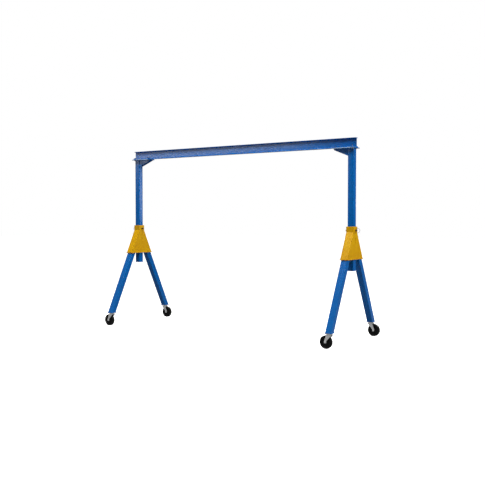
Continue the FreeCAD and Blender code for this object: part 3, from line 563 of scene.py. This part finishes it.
def head_welds(end):
    """Fabrication welds on a yellow head."""
    face_low, face_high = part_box(f"head_face_plates_{end}")
    tube_low, tube_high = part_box(f"head_receiver_{end}")
    collar_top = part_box(f"head_collar_{end}")[1][2]
    x = (face_low[0] + face_high[0]) / 2
    face_x = (face_high[0] - face_low[0]) / 2
    tube_half = (tube_high[0] - tube_low[0]) / 2
    bottom, top = face_low[2], face_high[2]
    low_y = profile_at(f"head_face_plates_{end}", bottom)[1]
    high_y = profile_at(f"head_face_plates_{end}", top)[1]

    # how far each bead's middle line stands outside the faces it joins, or off an edge
    seam_out = 0.0006
    foot_up = 0.0005
    neck_out_x, neck_out_y, neck_down = 0.0006, 0.001, 0.0008
    crown_out, crown_down = 0.001, 0.0002
    # where a corner seam stops short of the foot and of the neck
    seam_above_foot, seam_below_neck = 0.004, 0.003
    foot_corner, neck_corner, crown_corner = 0.002, 0.003, 0.009

    def draw(shape):
        # corner seams between the sloping plates and the face plates
        for side in (-1, 1):
            for front in (-1, 1):
                seam_x = x + side * (tube_half + seam_out)
                start = Vector((seam_x, front * low_y, bottom + seam_above_foot))
                stop = Vector((seam_x, front * high_y, top - seam_below_neck))
                add_bead(shape, [start, stop], SEAM_BEAD)
        # fillet all round the foot of the head, on the base plate
        foot = Vector((x, 0, bottom + foot_up))
        add_bead_round(shape, foot, face_x, low_y, foot_corner, FOOT_BEAD)
        # under the collar, and round the top of the receiver
        neck = Vector((x, 0, top - neck_down))
        neck_x, neck_y = face_x + neck_out_x, high_y + neck_out_y
        add_bead_round(shape, neck, neck_x, neck_y, neck_corner, NECK_BEAD)
        crown = Vector((x, 0, collar_top - crown_down))
        crown_half = tube_half + crown_out
        add_bead_round(shape, crown, crown_half, crown_half, crown_corner, CROWN_BEAD)

    new_piece(f"weld_beads_head_{end}", draw, yellow, "a_frames")

    # the slots' vertices are the only ones of the face plates near y = 0
    slot_reach = 0.02
    heights = [co.z for co in vertices(f"head_face_plates_{end}") if abs(co.y) < slot_reach]
    slot_middle = (min(heights) + max(heights)) / 2
    plug_half_length = 0.0352
    plug_out = 0.0022
    plug_flatness = 0.42

    def fill_slots(shape):
        for side in (-1, 1):
            depth = x + side * (tube_half + plug_out)
            start = Vector((depth, 0, slot_middle - plug_half_length))
            stop = Vector((depth, 0, slot_middle + plug_half_length))
            add_bead(shape, [start, stop], PLUG_BEAD, flat=plug_flatness)

    new_piece(f"plug_welds_{end}", fill_slots, yellow, "a_frames")


def leg_welds(end):
    """Welds where the legs meet the base plate and the foot plates."""
    base_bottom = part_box(f"head_base_plate_{end}")[0][2]

    def draw(shape):
        for corner, side in CORNERS.items():
            leg = f"leg_{end}_{corner}"
            low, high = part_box(leg)
            x = (low[0] + high[0]) / 2
            half_x = (high[0] - low[0]) / 2
            near, far = profile_at(leg, low[2])
            half_y = (far - near) / 2
            foot_y = (near + far) / 2
            # how much the leg leans shows on its outer face, and gives its place under the head
            lean = (profile_at(leg, high[2])[1] - far) / (high[2] - low[2])
            head_y = foot_y + (base_bottom - low[2]) * lean
            for y, z in ((foot_y, low[2]), (head_y, base_bottom)):
                middle = Vector((x, side * y, z))
                add_bead_round(shape, middle, half_x, half_y, TUBE_CORNER, LEG_BEAD)

    new_piece(f"weld_beads_legs_{end}", draw, blue, "a_frames")


def saddle_welds(end, way):
    """Welds between upright, saddle plate and gussets."""
    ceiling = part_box(f"saddle_plate_{end}")[0][2]
    tube_low, tube_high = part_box(f"upright_{end}")
    gusset_low, gusset_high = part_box(f"saddle_gussets_{end}")
    x = (tube_low[0] + tube_high[0]) / 2
    half = (tube_high[0] - tube_low[0]) / 2
    face = x - way * half
    nose = gusset_low[0] if way > 0 else gusset_high[0]
    inner, outer = profile_at(f"saddle_gussets_{end}", gusset_low[2])
    below_plate = 0.0006
    # where the beads stop short of a gusset's foot and of its nose
    above_foot, before_nose = 0.002, 0.004

    def draw(shape):
        top = Vector((x, 0, ceiling - below_plate))
        add_bead_round(shape, top, half, half, TUBE_CORNER, SADDLE_BEAD)
        for side in (-1, 1):
            for y in (inner, outer):
                corner = Vector((face, side * y, ceiling))
                low = Vector((face, side * y, gusset_low[2] + above_foot))
                far = Vector((nose + way * before_nose, side * y, ceiling))
                add_bead(shape, [corner, low], GUSSET_BEAD)
                add_bead(shape, [corner, far], GUSSET_BEAD)

    new_piece(f"weld_beads_saddle_{end}", draw, blue, "upper_frame")


# ---- screw threads ---------------------------------------------------------------------------


def add_thread(shape, start, direction, length):
    """A helical ridge round a bolt's tail, closed along its root and at both ends."""
    side = direction.orthogonal().normalized()
    up = direction.cross(side)
    count = int(length / THREAD_PITCH * THREAD_STEPS)
    root = BOLT_RADIUS - RIDGE_ROOT
    rings = []
    for i in range(count + 1):
        angle = math.tau * i / THREAD_STEPS
        along = THREAD_PITCH * i / THREAD_STEPS
        out = side * math.cos(angle) + up * math.sin(angle)
        fade = min(1.0, i / RIDGE_FADE, (count - i) / RIDGE_FADE)
        crest = BOLT_RADIUS + RIDGE_HEIGHT * fade
        ridge = ((-RIDGE_HALF_WIDTH, root), (0.0, crest), (RIDGE_HALF_WIDTH, root))
        ring = []
        for shift, radius in ridge:
            ring.append(shape.verts.new(start + direction * (along + shift) + out * radius))
        rings.append(ring)
    add_skin(shape, rings)


def clip_bolt_threads(end):
    """Threads on the clip bolts' tails under the saddle plate."""
    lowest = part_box(f"clip_bolts_{end}")[0][2]
    middle_x = sum(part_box(f"saddle_gussets_{end}")[k][0] for k in (0, 1)) / 2
    tip_depth = 0.0002
    tip_clearance = 0.0006
    thread_length = 0.0036
    # the lowest vertices are the bolts' tips, sorted into bolts by side and row
    tips = {}
    for co in vertices(f"clip_bolts_{end}"):
        if co.z < lowest + tip_depth:
            tips.setdefault((co.x > middle_x, co.y > 0), []).append(co)
    centres = []
    for points in tips.values():
        low = Vector([min(point[k] for point in points) for k in range(3)])
        high = Vector([max(point[k] for point in points) for k in range(3)])
        centres.append((low + high) / 2)

    def draw(shape):
        for centre in centres:
            start = centre + Vector((0, 0, tip_clearance))
            add_thread(shape, start, Vector((0, 0, 1)), thread_length)

    new_piece(f"clip_bolt_threads_{end}", draw, pin_steel, "upper_frame")


def axle_threads(end, corner):
    """Thread on an axle bolt's tail beyond its nut."""
    low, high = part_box(f"caster_axle_{end}_{corner}")
    x = (low[0] + high[0]) / 2
    z = (low[2] + high[2]) / 2
    # the nut is on the crane's outer side: +Y at the rear, -Y at the front
    side = CORNERS[corner]
    tail = high[1] if side > 0 else low[1]
    tail_length = 0.0036
    thread_length = 0.0032

    def draw(shape):
        start = Vector((x, tail - side * tail_length, z))
        add_thread(shape, start, Vector((0, side, 0)), thread_length)

    new_piece(f"axle_thread_{end}_{corner}", draw, silver, f"swivel_{end}_{corner}")


# ---- floor, light and camera -------------------------------------------------------------------


def lay_floor():
    """A wide pale floor: bright to the camera, and dimmer in what it throws back on the crane."""
    mesh = bpy.data.meshes.new("floor")
    reach = 60.0
    corners = [(-reach, -reach, 0), (reach, -reach, 0), (reach, reach, 0), (-reach, reach, 0)]
    mesh.from_pydata(corners, [], [(0, 1, 2, 3)])
    floor = bpy.data.objects.new("floor", mesh)
    bpy.context.scene.collection.objects.link(floor)
    made = Shader("floor_look")
    tone = made.ramp(made.noise(0.6, 3.0), 0.3, 0.7)
    made.set(
        Base_Color=made.mix(tone, rgb(0.86, 0.86, 0.86), rgb(0.90, 0.90, 0.90)),
        Roughness=0.9,
        Specular_IOR_Level=0.0,
    )
    glow = made.add("ShaderNodeEmission")
    glow.inputs["Strength"].default_value = FLOOR_GLOW
    sweep = made.add("ShaderNodeAddShader")
    made.plug(sweep.inputs[0], made.surface.outputs["BSDF"])
    made.plug(sweep.inputs[1], glow.outputs["Emission"])
    bounce = made.add("ShaderNodeBsdfDiffuse")
    bounce.inputs["Color"].default_value = rgb(FLOOR_BOUNCE, FLOOR_BOUNCE, FLOOR_BOUNCE)
    choice = made.add("ShaderNodeMixShader")
    made.plug(choice.inputs["Fac"], made.add("ShaderNodeLightPath").outputs["Is Camera Ray"])
    made.plug(choice.inputs[1], bounce.outputs["BSDF"])
    made.plug(choice.inputs[2], sweep.outputs["Shader"])
    made.plug(made.tree.nodes["Material Output"].inputs["Surface"], choice.outputs["Shader"])
    mesh.materials.append(made.material)


def light_world():
    """White behind the crane for the camera, and a dim room under a bright ceiling to light it."""
    world = bpy.data.worlds.new("studio")
    bpy.context.scene.world = world
    world.use_nodes = True
    tree = world.node_tree
    seen = tree.nodes["Background"]
    seen.inputs["Color"].default_value = rgb(1.0, 1.0, 1.0)
    # how far up the walls end and the full ceiling begins, from 0 at the horizon to 1 overhead
    walls_end, ceiling_begins = 0.15, 0.95
    room = tree.nodes.new("ShaderNodeBackground")
    direction = tree.nodes.new("ShaderNodeTexCoord")
    split = tree.nodes.new("ShaderNodeSeparateXYZ")
    lift = tree.nodes.new("ShaderNodeMapRange")
    lift.interpolation_type = "SMOOTHSTEP"
    lift.inputs["From Min"].default_value = walls_end
    lift.inputs["From Max"].default_value = ceiling_begins
    lift.inputs["To Min"].default_value = ROOM_WALLS
    lift.inputs["To Max"].default_value = ROOM_CEILING
    choice = tree.nodes.new("ShaderNodeMixShader")
    path = tree.nodes.new("ShaderNodeLightPath")
    link = tree.links.new
    link(direction.outputs["Generated"], split.inputs[0])
    link(split.outputs["Z"], lift.inputs["Value"])
    link(lift.outputs["Result"], room.inputs["Strength"])
    link(path.outputs["Is Camera Ray"], choice.inputs["Fac"])
    link(room.outputs["Background"], choice.inputs[1])
    link(seen.outputs["Background"], choice.inputs[2])
    link(choice.outputs["Shader"], tree.nodes["World Output"].inputs["Surface"])


def add_light(name, place, target, size, power, gloss_only=False):
    """An area light; a gloss_only one shows in reflections and throws no other light."""
    data = bpy.data.lights.new(name, "AREA")
    data.shape = "RECTANGLE"
    data.size, data.size_y = size
    data.energy = power
    light = bpy.data.objects.new(name, data)
    light.location = place
    aim = Vector(target) - Vector(place)
    light.rotation_euler = aim.to_track_quat("-Z", "Y").to_euler()
    light.visible_diffuse = not gloss_only
    light.visible_camera = False
    bpy.context.scene.collection.objects.link(light)


def light_scene():
    light_world()
    add_light(
        "overhead", place=(0.5, -2.6, 8.5), target=(0.2, 0, 1.5), size=(7.0, 4.0), power=760
    )
    add_light(
        "right_side", place=(8.5, 2.0, 5.0), target=(0, 0, 1.6), size=(3.0, 3.0), power=430
    )
    # seen only as reflections in the enamel: a long pale wall at the front left, and a small one
    # just behind the beam for the left upright
    add_light(
        "left_wall",
        place=(-9.6, -10.7, 4.75),
        target=(-0.6, 0, 3.1),
        size=(9.2, 0.9),
        power=400,
        gloss_only=True,
    )
    add_light(
        "rear_wall",
        place=(1.15, 3.7, 2.6),
        target=(-2.2, 0, 2.4),
        size=(1.1, 1.2),
        power=26,
        gloss_only=True,
    )
    bpy.context.scene.view_settings.view_transform = "Standard"


def place_camera():
    """The camera as fitted to the photograph: off the front right corner, about 2 m up."""
    data = bpy.data.cameras.new("camera")
    data.lens = 54.88
    data.sensor_width = 36.0
    data.clip_end = 200.0
    camera = bpy.data.objects.new("camera", data)
    camera.location = (7.2523, -10.6699, 1.9515)
    tilt_down = 1.823
    turn = 33.651
    camera.rotation_euler = (math.radians(90 - tilt_down), 0, math.radians(turn))
    bpy.context.scene.collection.objects.link(camera)
    bpy.context.scene.camera = camera


dress_nodes()
for end_name, end_way in ENDS.items():
    head_welds(end_name)
    leg_welds(end_name)
    saddle_welds(end_name, end_way)
    clip_bolt_threads(end_name)
    for corner_name in CORNERS:
        axle_threads(end_name, corner_name)
lay_floor()
light_scene()
place_camera()
